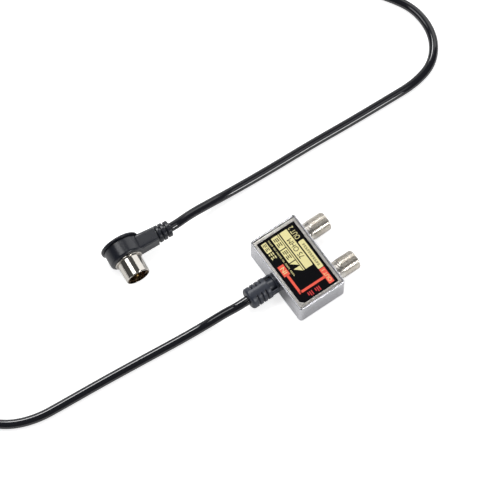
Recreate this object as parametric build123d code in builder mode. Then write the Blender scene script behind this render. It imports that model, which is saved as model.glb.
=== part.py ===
from build123d import *
import math
import os

os.makedirs("parts", exist_ok=True)

# A two-way aerial splitter with a fixed input lead, in millimetres.
# A zinc box lies label up, with two threaded outlets cast on its +Y side. Its lead leaves a
# moulded gland on the -Y side, is coiled and tied, and ends in an L-shaped push-on plug.
# The origin is the middle of the case's base, +X runs along the case and +Z goes up.

# Case
case_length = 40.4
case_width = 24.7
case_height = 14.3
case_corner = 1.5
case_wall = 1.8
case_floor = 1.6
base_round = 0.5
rim_side = 0.8
rim_end = 0.85
rim_round = 0.35
seat_depth = 1.35
seat_corner = 0.8
post_radius = 1.3

# Outlets, 3/8 inch threaded barrels cast with the case
port_from_end = 8.8
port_length = 11.8
thread_radius = 4.75
thread_tip_chamfer = 0.55
root_flare_radius = 5.6
root_flare_length = 1.0
root_flare_bow = 0.3
root_neck_radius = 4.5
root_neck_length = 2.3
port_bore_radius = 3.1
port_shoulder = 0.8
port_shoulder_bore = 2.0
insulator_recess = 0.6
insulator_web = 1.3
insulator_hole_radius = 0.75
insulator_lead_in = 0.55
contact_radius = 1.2
contact_bore_radius = 0.55
contact_bore_depth = 6.0
contact_slit = 0.3
contact_slit_depth = 4.0
contact_flange_radius = 1.7
contact_flange = 0.6
contact_tail_radius = 0.45
contact_tail_length = 3.4
fit_clearance = 0.05
cut_margin = 0.5

# Cover plate and label
plate_thickness = 0.85
plate_gap_side = 0.2
plate_gap_end = 0.3
plate_edge_round = 0.2
bead_width = 0.55
bead_height = 0.26
label_margin_end = 1.7
label_margin_side = 1.38
label_shift_x = 0.2
label_shift_y = -0.1
label_corner_cut = 1.85
label_thickness = 0.1

# The label's print, drawn on a sheet of its own size and stretched to the label. Each block
# is its left, low, right and high edges from the label's -X -Y corner
print_thickness = 0.04
print_sheet = (38.2, 21.6)
print_bar = (10.3, 17.1, 27.7, 19.7)
print_panel = (1.5, 12.3, 24.0, 16.4)
print_rule = (1.5, 11.15, 24.0, 11.7)
print_boxes = ((1.5, 7.3, 9.0, 10.8), (9.5, 7.3, 17.0, 10.8))
print_wedges = ((17.5, 20.4), (20.9, 24.0))
print_heading = (1.4, 1.7, 7.0, 4.3)
print_in_tag = (15.6, 1.4, 21.8, 4.7)
print_out_tag = (28.0, 17.2, 37.0, 20.1)
print_squares = ((34.5, 5.7, 37.1, 8.3), (34.6, 9.8, 37.2, 12.4))
print_line_width = 1.3
print_line_low = 3.1
print_line_right = 32.6

# Circuit board and what is soldered on it. Places are from the board's middle, on a drawing
# of its own size that is stretched to the case
board_thickness = 1.0
board_gap = 0.28
board_notch_width = 9.5
board_notch_clearance = 0.2
core_length = 6.0
core_height = 3.2
core_depth = 3.7
core_bore_radius = 0.8
core_bore_spacing = 2.7
wire_radius = 0.28
wire_step = 0.63
wire_reach = 0.7
wire_bend = 0.42
choke_radius = 2.15
choke_hub_radius = 1.1
choke_height = 4.1
choke_flange = 0.65
choke_turns = 5
choke_turn_reach = 0.8
choke_turn_bow = 0.6
resistor_length = 4.1
resistor_radius = 0.9
resistor_waist = 0.75
resistor_cap = 0.85
resistor_cap_taper = 0.28
resistor_reach = 3.4
resistor_lift = 1.1
leg_radius = 0.23
leg_bend = 0.46
capacitor_radius = 1.75
capacitor_thickness = 1.2
capacitor_rim = 1.4
capacitor_lift = 1.0
capacitor_leg_spacing = 2.3
layout_sheet = (39.6, 21.4)
matching_core_place = (-8.2, -2.2)
splitting_core_place = (0.0, 3.2)
choke_place = (9.0, -4.6)
resistor_place = (0.0, 8.6)
capacitor_places = ((-14.6, -5.5), (15.2, -1.0), (-8.4, 5.2))

# Lead and gland
cord_diameter = 4.3
braid_radius = 1.75
dielectric_radius = 1.4
conductor_radius = 0.45
gland_length = 14.8
gland_radius = 5.1
gland_neck_length = 4.3
gland_core_radius = 2.9
gland_flange = 0.85
gland_flange_radius = 4.5
gland_strap_thickness = 0.95
gland_strap_height = 3.9
gland_strap_inset = 0.1
gland_strap_overlap = 0.5
gland_spine = 4.1
gland_groove = 0.95
gland_groove_depth = 1.15
gland_grooves_from_end = (3.45, 5.8, 8.1)
gland_end_round = 1.2
gland_hole_radius = 3.5
gland_inner_flange = 1.3
gland_inner_radius = 4.2
gland_inner_chamfer = 0.55
ferrule_length = 2.8
ferrule_wall = 0.55
dielectric_showing = 1.5
conductor_showing = 2.7

# Coil of the put-away length, and its tie
coil_outer_turn = 27.0
coil_pitch = 4.6
coil_steps = 2
coil_layers = 2
coil_round = 1.95
tie_width = 3.5
tie_thickness = 0.6
tie_gap = 0.12
tie_head = 4.6
tie_head_height = 3.4
tie_head_round = 0.5
tie_direction = 150.0

# The lead's route on the floor, from the gland to the coil and from the plug to the coil. Each
# leaves its moulding straight
first_run = 6.0
plug_first_run = 3.0
corner_share = 0.45
coil_meets_lead = (-122.9, 78.4)
coil_lead_angle = 235.0
gland_side_points = (
    (-1.2, -38.8, 5.47),
    (-2.2, -48.1, 3.15),
    (-3.2, -61.1, 2.2),
    (-4.8, -79.7, 2.2),
    (-6.6, -102.0, 2.2),
    (-7.8, -121.4, 2.2),
    (-8.9, -136.3, 2.2),
    (-14.3, -149.4, 2.2),
    (-24.8, -158.5, 2.2),
    (-38.5, -160.5, 2.2),
    (-53.2, -155.8, 2.2),
    (-76.9, -141.1, 2.2),
    (-115.8, -116.2, 2.2),
    (-152.9, -91.7, 2.2),
    (-175.6, -76.4, 2.2),
    (-189.5, -65.8, 2.2),
    (-198.8, -52.8, 2.2),
    (-202.1, -38.0, 2.2),
    (-197.0, -23.1, 2.2),
    (-187.2, -8.3, 2.2),
    (-170.1, 15.4, 2.2),
    (-148.9, 43.2, 2.6),
    (-135.8, 60.8, 4.64),
    (-128.3, 71.3, 6.49),
)
plug_side_points = (
    (-49.1, -24.6, 7.55),
    (-49.6, -12.9, 4.08),
    (-49.4, 1.9, 2.2),
    (-48.7, 20.5, 2.2),
    (-48.1, 41.8, 2.2),
    (-46.7, 63.1, 2.2),
    (-45.7, 83.6, 2.2),
    (-45.2, 99.4, 2.2),
    (-49.1, 112.3, 2.2),
    (-60.2, 120.6, 2.2),
    (-74.9, 121.6, 2.2),
    (-87.5, 115.5, 2.2),
    (-102.8, 103.9, 2.2),
    (-114.4, 89.9, 2.3),
)

# Plug, lying on its side with its mouth towards +X. It is drawn straight and then turned a
# little on the floor, about the middle of its face
plug_turn = -5.2
plug_axis_y = -60.9
plug_face_x = -46.1
drum_radius = 8.4
drum_length = 7.3
drum_front_round = 1.3
drum_groove = 0.45
drum_groove_radius = 7.85
drum_bore_radius = 6.0
drum_bore_depth = 5.4
lid_radius = 9.3
lid_thickness = 1.4
lid_round = 0.55
lid_spigot = 0.6
arm_end_y = -44.4
arm_end_x = -50.5
arm_root_thickness = 8.5
arm_end_thickness = 6.8
arm_height = 8.4
arm_end_offset = 0.3
arm_round = 1.0
rib_radii = (4.1, 4.05, 3.85)
rib_starts = (0.8, 3.05, 5.5)
rib_lengths = (1.15, 1.15, 1.7)
rib_core_radius = 2.9
rib_round = 0.4
collar_radius = 6.8
collar_thickness = 0.65
collar_chamfer = 0.2
sleeve_radius = 5.8
sleeve_wall = 0.5
sleeve_length = 9.5
sleeve_bevel = 0.3
sleeve_root = 1.2
spring_thickness = 0.3
spring_length = 7.2
spring_grip_at = 5.04
spring_slot = 0.9
spring_slots = 6
spring_root = 1.4
spring_mouth_gap = 0.15
plug_insulator_length = 2.2
pin_radius = 0.5
pin_set_back = 0.6
pin_tail = 3.0
pin_shoulder_radius = 1.1
pin_tip_chamfer = 0.2
plug_jacket_end = 0.4
plug_dielectric_end = 2.8

# Places worked out from the sizes above
port_height = case_height / 2
port_places = (port_from_end - case_length / 2, case_length / 2 - port_from_end)
spring_grip_radius = thread_radius + fit_clearance
side_y = case_width / 2
wall_y = side_y - case_wall
seat_height = case_height - seat_depth
seat_length = case_length - 2 * rim_end
seat_width = case_width - 2 * rim_side
inner_length = case_length - 2 * case_wall
inner_width = case_width - 2 * case_wall
label_length = seat_length - 2 * label_margin_end
label_width = seat_width - 2 * label_margin_side
plate_top = seat_height + plate_thickness
label_top = plate_top + label_thickness
board_top = port_height - contact_tail_radius
board_base = board_top - board_thickness
cord_radius = cord_diameter / 2
gland_end_y = -side_y - gland_length
braid_end_y = -wall_y + gland_inner_flange + ferrule_length
dielectric_end_y = braid_end_y + dielectric_showing
board_notch_depth = dielectric_end_y + board_notch_clearance + wall_y - board_gap
plug_height = lid_radius
drum_back_x = plug_face_x - drum_length
lid_x = drum_back_x - drum_groove
sleeve_mouth_x = plug_face_x + sleeve_length
arm_root_x = plug_face_x - arm_root_thickness / 2
rib_end_y = arm_end_y + rib_starts[-1] + rib_lengths[-1]
gland_side_route = (
    (0, gland_end_y, port_height),
    (0, gland_end_y - first_run, port_height),
    *gland_side_points,
    (*coil_meets_lead, tie_thickness + cord_radius + cord_diameter),
)
plug_middle = Pos(plug_face_x, plug_axis_y, 0)
plug_pose = plug_middle * Rot(0, 0, plug_turn) * plug_middle.inverse()
plug_side_route = (
    tuple((plug_pose * Pos(arm_end_x, rib_end_y, plug_height)).position),
    tuple((plug_pose * Pos(arm_end_x, rib_end_y + plug_first_run, plug_height)).position),
    *plug_side_points,
    (*coil_meets_lead, tie_thickness + cord_radius),
)


def save(piece, name, pose=Location()):
    """Puts a finished piece in its place, labels it and writes it to its own file."""
    placed = pose * piece.part
    placed.label = name
    export_step(placed, f"parts/{name}.step")


def upright_along_x(x, y, z):
    """An upright drawing plane that faces -Y: its X runs along +X and its Y goes up."""
    return Plane(origin=(x, y, z), x_dir=(1, 0, 0), z_dir=(0, -1, 0))


def upright_along_y(x, y, z):
    """An upright drawing plane that faces +X: its X runs along +Y and its Y goes up."""
    return Plane(origin=(x, y, z), x_dir=(0, 1, 0), z_dir=(1, 0, 0))


def on_board(x, y):
    """Turns a place on the board's drawing into one on the model."""
    return x / layout_sheet[0] * inner_length, y / layout_sheet[1] * inner_width


# Case: a casting with a rebated rim, a stepped bore in each outlet and posts for the board
with BuildPart() as case:
    with BuildSketch():
        RectangleRounded(case_length, case_width, case_corner)
    extrude(amount=case_height)
    fillet(case.faces().sort_by(Axis.Z)[0].edges(), base_round)
    fillet(case.faces().sort_by(Axis.Z)[-1].edges(), rim_round)
    with BuildSketch(Plane.XY.offset(seat_height)):
        RectangleRounded(seat_length, seat_width, seat_corner)
    extrude(amount=seat_depth, mode=Mode.SUBTRACT)
    with BuildSketch(Plane.XY.offset(case_floor)):
        RectangleRounded(inner_length, inner_width, seat_corner)
    extrude(amount=seat_height - case_floor, mode=Mode.SUBTRACT)
    with BuildSketch(Plane.XY.offset(case_floor)):
        with GridLocations(inner_length - post_radius, inner_width - post_radius, 2, 2):
            Circle(post_radius)
    extrude(amount=board_base - case_floor)
    for port_x in port_places:
        port_plane = upright_along_y(port_x, side_y, port_height)
        with BuildSketch(port_plane):
            with BuildLine():
                Polyline(
                    (root_flare_length, root_neck_radius),
                    (root_neck_length, root_neck_radius),
                    (root_neck_length, thread_radius - thread_tip_chamfer),
                    (root_neck_length + thread_tip_chamfer / 2, thread_radius),
                    (port_length - thread_tip_chamfer, thread_radius),
                    (port_length, thread_radius - thread_tip_chamfer),
                    (port_length, 0),
                    (-case_wall / 2, 0),
                    (-case_wall / 2, root_flare_radius),
                    (0, root_flare_radius),
                )
                ThreePointArc(
                    (0, root_flare_radius),
                    (
                        root_flare_length * root_flare_bow,
                        root_neck_radius + (root_flare_radius - root_neck_radius) * root_flare_bow,
                    ),
                    (root_flare_length, root_neck_radius),
                )
            make_face()
        revolve(axis=Axis(port_plane.origin, (0, 1, 0)))
        with BuildSketch(Plane(origin=(port_x, side_y + port_length, port_height), z_dir=(0, -1, 0))):
            Circle(port_bore_radius)
        extrude(amount=port_length + case_wall - port_shoulder, mode=Mode.SUBTRACT)
        with BuildSketch(Plane(origin=(port_x, side_y, port_height), z_dir=(0, -1, 0))):
            Circle(port_shoulder_bore)
        extrude(amount=case_wall, mode=Mode.SUBTRACT)
    with BuildSketch(Plane(origin=(0, -side_y, port_height), z_dir=(0, 1, 0))):
        Circle(gland_hole_radius)
    extrude(amount=case_wall, mode=Mode.SUBTRACT)
save(case, "case")


def label_outline(margin, mode=Mode.ADD):
    """Draws the label's outline, with its cut corner, grown by a margin."""
    half_x, half_y = label_length / 2 + margin, label_width / 2 + margin
    cut = label_corner_cut + margin * math.tan(math.pi / 8) * 2
    with Locations((label_shift_x, label_shift_y)):
        Polygon(
            (-half_x, -half_y),
            (half_x - cut, -half_y),
            (half_x, -half_y + cut),
            (half_x, half_y),
            (-half_x, half_y),
            align=None,
            mode=mode,
        )


# Cover plate: pressed, with a raised bead that frames the label
with BuildPart() as cover_plate:
    with BuildSketch(Plane.XY.offset(seat_height)):
        RectangleRounded(
            seat_length - 2 * plate_gap_end,
            seat_width - 2 * plate_gap_side,
            seat_corner - plate_gap_side,
        )
    extrude(amount=plate_thickness)
    fillet(cover_plate.faces().sort_by(Axis.Z)[-1].edges(), plate_edge_round)
    with BuildSketch(Plane.XY.offset(plate_top)):
        label_outline(bead_width)
        label_outline(0, Mode.SUBTRACT)
    extrude(amount=bead_height)
save(cover_plate, "cover_plate")

# Label: a printed film inside the bead, with its ink as raised fields
with BuildPart() as label:
    with BuildSketch(Plane.XY.offset(plate_top)):
        label_outline(0)
    extrude(amount=label_thickness)
save(label, "label")


def on_label(x, y):
    """Turns a place on the print's sheet into one on the model."""
    return (
        label_shift_x + (x / print_sheet[0] - 0.5) * label_length,
        label_shift_y + (y / print_sheet[1] - 0.5) * label_width,
    )


def print_block(left, low, right, high):
    """Draws a printed block from its edges on the sheet."""
    Polygon(
        on_label(left, low),
        on_label(right, low),
        on_label(right, high),
        on_label(left, high),
        align=None,
    )


with BuildPart() as gold_print:
    with BuildSketch(Plane.XY.offset(label_top)):
        for block in (print_bar, print_panel, print_rule, print_heading, *print_boxes):
            print_block(*block)
        for left, right in print_wedges:
            Polygon(
                on_label(left, print_boxes[0][1]),
                on_label(right, print_boxes[0][3]),
                on_label(left, print_boxes[0][3]),
                align=None,
            )
    extrude(amount=print_thickness)
save(gold_print, "gold_print")

with BuildPart() as red_print:
    with BuildSketch(Plane.XY.offset(label_top)):
        half = print_line_width / 2
        print_turn = print_line_right + half
        for block in (
            print_in_tag,
            print_out_tag,
            *print_squares,
            (print_in_tag[2], print_line_low - half, print_turn, print_line_low + half),
            (print_line_right - half, print_line_low, print_turn, print_out_tag[1]),
        ):
            print_block(*block)
    extrude(amount=print_thickness)
save(red_print, "red_print")

# Outlets: a white insulator in each bore, and a sprung brass contact inside it
for number, port_x in enumerate(port_places, 1):
    port_plane = upright_along_y(port_x, side_y, port_height)
    back = -case_wall
    shoulder = port_shoulder - case_wall
    front = port_length - insulator_recess
    web = front - insulator_web
    with BuildPart() as port_insulator:
        with BuildSketch(port_plane):
            with BuildLine():
                Polyline(
                    (back, contact_radius + fit_clearance),
                    (back, port_shoulder_bore - fit_clearance),
                    (shoulder, port_shoulder_bore - fit_clearance),
                    (shoulder, port_bore_radius),
                    (front, port_bore_radius),
                    (front, insulator_hole_radius + insulator_lead_in),
                    (front - insulator_lead_in, insulator_hole_radius),
                    (web, insulator_hole_radius),
                    (web, contact_radius + fit_clearance),
                    close=True,
                )
            make_face()
        revolve(axis=Axis(port_plane.origin, (0, 1, 0)))
    save(port_insulator, f"port_insulator_{number}")

    with BuildPart() as port_contact:
        with BuildSketch(port_plane):
            with BuildLine():
                Polyline(
                    (back - contact_flange - contact_tail_length, 0),
                    (back - contact_flange - contact_tail_length, contact_tail_radius),
                    (back - contact_flange, contact_tail_radius),
                    (back - contact_flange, contact_flange_radius),
                    (back, contact_flange_radius),
                    (back, contact_radius),
                    (web, contact_radius),
                    (web, contact_bore_radius),
                    (web - contact_bore_depth, contact_bore_radius),
                    (web - contact_bore_depth, 0),
                    close=True,
                )
            make_face()
        revolve(axis=Axis(port_plane.origin, (0, 1, 0)))
        with BuildSketch(Plane(origin=(port_x, side_y + web, port_height), z_dir=(0, -1, 0))):
            Rectangle(contact_slit, 2 * (contact_radius + cut_margin))
        extrude(amount=contact_slit_depth, mode=Mode.SUBTRACT)
    save(port_contact, f"port_contact_{number}")

# Circuit board, notched where the lead comes in
with BuildPart() as circuit_board:
    with BuildSketch(Plane.XY.offset(board_base)):
        RectangleRounded(inner_length - 2 * board_gap, inner_width - 2 * board_gap, seat_corner)
        with Locations((0, -inner_width / 2 + board_gap)):
            Rectangle(
                board_notch_width,
                board_notch_depth,
                align=(Align.CENTER, Align.MIN),
                mode=Mode.SUBTRACT,
            )
        for port_x in port_places:
            with Locations((port_x, inner_width / 2)):
                Rectangle(
                    2 * (contact_flange_radius + board_gap),
                    2 * (contact_flange + board_gap),
                    mode=Mode.SUBTRACT,
                )
    extrude(amount=board_thickness)
save(circuit_board, "circuit_board")

# Transformers: a two-hole ferrite core, and two loops of wire through its holes
for name, place in (("matching", matching_core_place), ("splitting", splitting_core_place)):
    core_x, core_y = on_board(*place)
    core_z = board_top + core_height / 2
    with BuildPart() as core:
        with BuildSketch(upright_along_x(core_x, core_y + core_depth / 2, core_z)):
            SlotOverall(core_length, core_height)
            with Locations((-core_bore_spacing / 2, 0), (core_bore_spacing / 2, 0)):
                Circle(core_bore_radius, mode=Mode.SUBTRACT)
        extrude(amount=core_depth)
    save(core, f"{name}_core")

    half_x = core_bore_spacing / 2
    with BuildPart() as winding:
        for side, height in ((1, core_z - wire_step / 2), (-1, core_z + wire_step / 2)):
            near = core_y - side * (core_depth / 2 + wire_reach + (wire_step if side < 0 else 0))
            far = core_y + side * (core_depth / 2 + wire_reach)
            with BuildLine() as wire:
                FilletPolyline(
                    (core_x - half_x, near, board_top),
                    (core_x - half_x, near, height),
                    (core_x - half_x, far, height),
                    (core_x + half_x, far, height),
                    (core_x + half_x, near, height),
                    (core_x + half_x, near, board_top),
                    radius=wire_bend,
                )
            with BuildSketch(Plane(origin=wire.line @ 0, z_dir=wire.line % 0)):
                Circle(wire_radius)
            sweep()
    save(winding, f"{name}_winding")

# Choke: a ferrite bobbin standing on the board, and its turns of wire as one ridged sleeve
choke_plane = upright_along_x(*on_board(*choke_place), board_top)
with BuildPart() as choke_core:
    with BuildSketch(choke_plane):
        with BuildLine():
            Polyline(
                (0, 0),
                (choke_radius, 0),
                (choke_radius, choke_flange),
                (choke_hub_radius, choke_flange),
                (choke_hub_radius, choke_height - choke_flange),
                (choke_radius, choke_height - choke_flange),
                (choke_radius, choke_height),
                (0, choke_height),
                close=True,
            )
        make_face()
    revolve(axis=Axis(choke_plane.origin, (0, 0, 1)))
save(choke_core, "choke_core")

choke_turn = (choke_height - 2 * choke_flange) / choke_turns
with BuildPart() as choke_winding:
    with BuildSketch(choke_plane):
        with BuildLine():
            wound = choke_hub_radius + choke_turn * choke_turn_reach
            for turn in range(choke_turns):
                low = choke_flange + turn * choke_turn
                RadiusArc((wound, low), (wound, low + choke_turn), choke_turn * choke_turn_bow)
            Polyline(
                (wound, choke_height - choke_flange),
                (choke_hub_radius, choke_height - choke_flange),
                (choke_hub_radius, choke_flange),
                (wound, choke_flange),
            )
        make_face()
    revolve(axis=Axis(choke_plane.origin, (0, 0, 1)))
save(choke_winding, "choke_winding")

# Isolation resistor between the outlets: a waisted body on two bent leads
resistor_height = board_top + resistor_lift
resistor_x, resistor_y = on_board(*resistor_place)
resistor_plane = upright_along_x(resistor_x, resistor_y, resistor_height)
with BuildPart() as isolation_resistor:
    with BuildSketch(resistor_plane):
        with BuildLine():
            half = resistor_length / 2
            cap_end = half - resistor_cap
            waist_end = cap_end - resistor_cap_taper
            Polyline(
                (-half, 0),
                (-half, resistor_radius),
                (-cap_end, resistor_radius),
                (-waist_end, resistor_waist),
                (waist_end, resistor_waist),
                (cap_end, resistor_radius),
                (half, resistor_radius),
                (half, 0),
                close=True,
            )
        make_face()
    revolve(axis=Axis(resistor_plane.origin, (1, 0, 0)))
    with BuildLine() as leads:
        FilletPolyline(
            (resistor_x - resistor_reach, resistor_y, board_top),
            (resistor_x - resistor_reach, resistor_y, resistor_height),
            (resistor_x + resistor_reach, resistor_y, resistor_height),
            (resistor_x + resistor_reach, resistor_y, board_top),
            radius=leg_bend,
        )
    with BuildSketch(Plane(origin=leads.line @ 0, z_dir=leads.line % 0)):
        Circle(leg_radius)
    sweep()
save(isolation_resistor, "isolation_resistor")

# Capacitors: three dipped discs, each standing on its two legs
with BuildPart() as capacitors:
    capacitor_height = board_top + capacitor_lift + capacitor_radius
    for place in capacitor_places:
        capacitor_x, capacitor_y = on_board(*place)
        with BuildSketch(upright_along_y(capacitor_x, capacitor_y, capacitor_height)):
            with BuildLine():
                Polyline(
                    (-capacitor_thickness / 2, capacitor_rim),
                    (-capacitor_thickness / 2, 0),
                    (capacitor_thickness / 2, 0),
                    (capacitor_thickness / 2, capacitor_rim),
                )
                ThreePointArc(
                    (capacitor_thickness / 2, capacitor_rim),
                    (0, capacitor_radius),
                    (-capacitor_thickness / 2, capacitor_rim),
                )
            make_face()
        revolve(axis=Axis((capacitor_x, capacitor_y, capacitor_height), (0, 1, 0)))
        with BuildSketch(Plane.XY.offset(board_top)):
            with Locations(
                (capacitor_x - capacitor_leg_spacing / 2, capacitor_y),
                (capacitor_x + capacitor_leg_spacing / 2, capacitor_y),
            ):
                Circle(leg_radius)
        extrude(amount=capacitor_lift + capacitor_radius)
save(capacitors, "capacitors")

# Gland: moulded on the lead. It snaps into the wall, and its straps and grooves let it bend
gland_plane = Plane(origin=(0, -side_y, port_height), x_dir=(0, -1, 0), z_dir=(1, 0, 0))
gland_face = Plane(origin=(0, -side_y, port_height), x_dir=(1, 0, 0), z_dir=(0, -1, 0))
with BuildPart() as gland:
    with BuildSketch(gland_plane):
        with BuildLine():
            Polyline(
                (-case_wall - gland_inner_flange, cord_radius),
                (-case_wall - gland_inner_flange, gland_inner_radius - gland_inner_chamfer),
                (-case_wall - gland_inner_flange + gland_inner_chamfer, gland_inner_radius),
                (-case_wall, gland_inner_radius),
                (-case_wall, gland_hole_radius),
                (0, gland_hole_radius),
                (0, gland_flange_radius),
                (gland_flange, gland_flange_radius),
                (gland_flange, gland_core_radius),
                (gland_neck_length, gland_core_radius),
                (gland_neck_length, gland_radius),
                (gland_length - gland_end_round, gland_radius),
            )
            RadiusArc(
                (gland_length - gland_end_round, gland_radius),
                (gland_length, gland_radius - gland_end_round),
                gland_end_round,
            )
            Polyline(
                (gland_length, gland_radius - gland_end_round),
                (gland_length, cord_radius),
                (-case_wall - gland_inner_flange, cord_radius),
            )
        make_face()
    revolve(axis=Axis(gland_plane.origin, (0, 1, 0)))
    strap_offset = gland_flange_radius - gland_strap_thickness / 2 - gland_strap_inset
    with BuildSketch(gland_face.offset(gland_flange / 2)):
        with Locations((-strap_offset, 0), (strap_offset, 0)):
            Rectangle(gland_strap_thickness, gland_strap_height)
    extrude(amount=gland_neck_length - gland_flange / 2 + gland_strap_overlap)
    for from_end in gland_grooves_from_end:
        with BuildSketch(gland_face.offset(gland_length - from_end - gland_groove / 2)):
            Circle(gland_radius + cut_margin)
            Circle(gland_radius - gland_groove_depth, mode=Mode.SUBTRACT)
            Rectangle(gland_spine, 2 * (gland_radius + cut_margin), mode=Mode.SUBTRACT)
        extrude(amount=gland_groove, mode=Mode.SUBTRACT)
save(gland, "gland")

# The lead's end in the case: jacket in the gland, braid in the ferrule, then core and conductor
with BuildPart() as lead_end:
    with BuildSketch(upright_along_y(0, 0, port_height)):
        with BuildLine():
            jacket_end = -wall_y + gland_inner_flange
            Polyline(
                (gland_end_y, 0),
                (gland_end_y, cord_radius),
                (jacket_end, cord_radius),
                (jacket_end, braid_radius),
                (braid_end_y, braid_radius),
                (braid_end_y, dielectric_radius),
                (dielectric_end_y, dielectric_radius),
                (dielectric_end_y, conductor_radius),
                (dielectric_end_y + conductor_showing, conductor_radius),
                (dielectric_end_y + conductor_showing, 0),
                close=True,
            )
        make_face()
    revolve(axis=Axis((0, 0, port_height), (0, 1, 0)))
save(lead_end, "lead_end")

with BuildPart() as braid_ferrule:
    with BuildSketch(Plane(origin=(0, jacket_end, port_height), x_dir=(1, 0, 0), z_dir=(0, 1, 0))):
        Circle(braid_radius + ferrule_wall)
        Circle(braid_radius, mode=Mode.SUBTRACT)
    extrude(amount=ferrule_length)
save(braid_ferrule, "braid_ferrule")

# Coil: the outer shape of four turns in two layers, on the tie that passes under it
tangent = Vector(*coil_meets_lead)
toward_gland = math.radians(coil_lead_angle)
coil_centre = tangent + coil_outer_turn * Vector(math.sin(toward_gland), -math.cos(toward_gland))
coil_inner_turn = coil_outer_turn - coil_steps * coil_pitch
coil_outside = coil_outer_turn + cord_radius
coil_inside = coil_inner_turn - cord_radius
coil_height = coil_layers * cord_diameter
coil_middle = (coil_outside + coil_inside) / 2
with BuildPart() as cord_coil:
    with BuildSketch(Plane(origin=(coil_centre.X, coil_centre.Y, tie_thickness))):
        Circle(coil_outside)
        Circle(coil_inside, mode=Mode.SUBTRACT)
    extrude(amount=coil_height)
    fillet(cord_coil.edges().filter_by(GeomType.CIRCLE), coil_round)
save(cord_coil, "cord_coil")

# Tie: a strap round the bundle, with its buckle on top
tie_angle = math.radians(tie_direction)
tie_plane = Plane(
    origin=(
        coil_centre.X + coil_middle * math.cos(tie_angle),
        coil_centre.Y + coil_middle * math.sin(tie_angle),
        tie_thickness + coil_height / 2,
    ),
    x_dir=(math.cos(tie_angle), math.sin(tie_angle), 0),
    z_dir=(-math.sin(tie_angle), math.cos(tie_angle), 0),
)
bundle_width = coil_outside - coil_inside + 2 * tie_gap
with BuildPart() as cord_tie:
    with BuildSketch(tie_plane.offset(-tie_width / 2)):
        RectangleRounded(
            bundle_width + 2 * tie_thickness,
            coil_height + 2 * tie_thickness,
            coil_round + tie_thickness,
        )
        RectangleRounded(bundle_width, coil_height, coil_round, mode=Mode.SUBTRACT)
    extrude(amount=tie_width)
    with BuildSketch(Plane(tie_plane.origin, x_dir=tie_plane.x_dir).offset(coil_height / 2)):
        RectangleRounded(tie_head, tie_head, tie_head_round)
    extrude(amount=tie_head_height)
save(cord_tie, "cord_tie")


def corner_radii(points):
    """Each corner's radius: a share of its shorter run over the tangent of half its turn."""
    radii = []
    for before, corner, after in zip(points, points[1:], points[2:]):
        a, b = Vector(*corner) - Vector(*before), Vector(*after) - Vector(*corner)
        half_turn = math.radians(a.get_angle(b)) / 2
        radii.append(corner_share * min(a.length, b.length) / math.tan(half_turn))
    return radii


def lead_tube(route, name):
    """Sweeps the lead's section along a route, and prints its radii and volume."""
    radii = corner_radii(route)
    with BuildPart() as tube:
        with BuildLine() as path:
            FilletPolyline(*route, radius=radii)
        with BuildSketch(Plane(origin=path.line @ 0, z_dir=path.line % 0)):
            Circle(cord_radius)
        sweep()
        length = sum(edge.length for edge in path.edges())
        share = tube.part.volume / (math.pi * cord_radius**2 * length)
        add(cord_coil.part, mode=Mode.SUBTRACT)
    print(name, "length", round(length, 1), "volume over section times length", round(share, 4))
    print("radii", [round(radius, 1) for radius in radii])
    save(tube, name)


lead_tube(gland_side_route, "cord_gland_side")
lead_tube(plug_side_route, "cord_plug_side")

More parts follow.
